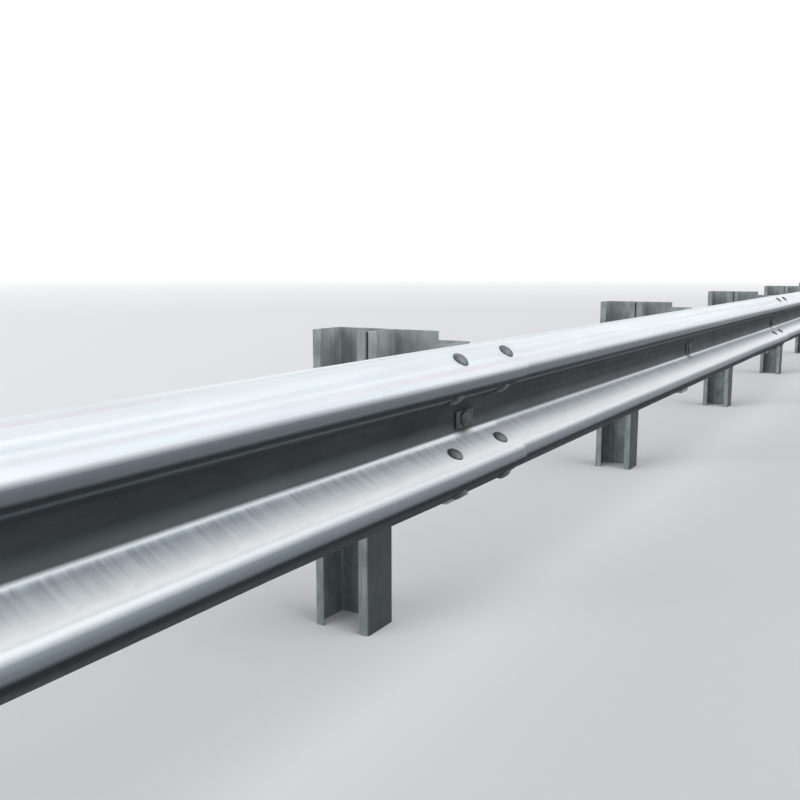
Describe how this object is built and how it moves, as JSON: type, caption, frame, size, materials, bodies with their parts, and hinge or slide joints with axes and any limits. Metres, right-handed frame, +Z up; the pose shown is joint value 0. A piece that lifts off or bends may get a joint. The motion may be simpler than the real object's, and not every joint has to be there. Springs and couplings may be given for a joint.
{
  "type": "highway guardrail section",
  "caption": "Straight run of galvanised W-beam road barrier: rolled rails lapped end to end, held off lipped channel posts by channel blockouts.",
  "frame": {"origin": "on the bottom face of the middle post's traffic-side flange, at ground level", "axes": "+X along the run to its far end, -Y towards the traffic, +Z up"},
  "size_m": [12.318, 0.4418, 0.7],
  "materials": {
    "galvanised_rail": "hot-dip galvanised sheet, bright, with faint roll streaks",
    "galvanised_post": "hot-dip galvanised, dull grey",
    "galvanised_blockout": "hot-dip galvanised, dull grey",
    "galvanised_washer": "hot-dip galvanised, satin"
  },
  "bodies": {
    "root": {"rail_1": "galvanised_rail", "rail_2": "galvanised_rail", "rail_3": "galvanised_rail", "post_1": "galvanised_post", "post_2": "galvanised_post", "post_3": "galvanised_post", "post_4": "galvanised_post", "post_5": "galvanised_post", "post_6": "galvanised_post", "post_7": "galvanised_post", "blockout_1": "galvanised_blockout", "blockout_2": "galvanised_blockout", "blockout_3": "galvanised_blockout", "blockout_4": "galvanised_blockout", "blockout_5": "galvanised_blockout", "blockout_6": "galvanised_blockout", "blockout_7": "galvanised_blockout", "rail_washer_1": "galvanised_washer", "rail_washer_2": "galvanised_washer", "rail_washer_3": "galvanised_washer", "rail_washer_4": "galvanised_washer", "rail_washer_5": "galvanised_washer", "rail_washer_6": "galvanised_washer", "rail_washer_7": "galvanised_washer"}
  },
  "joints": []
}
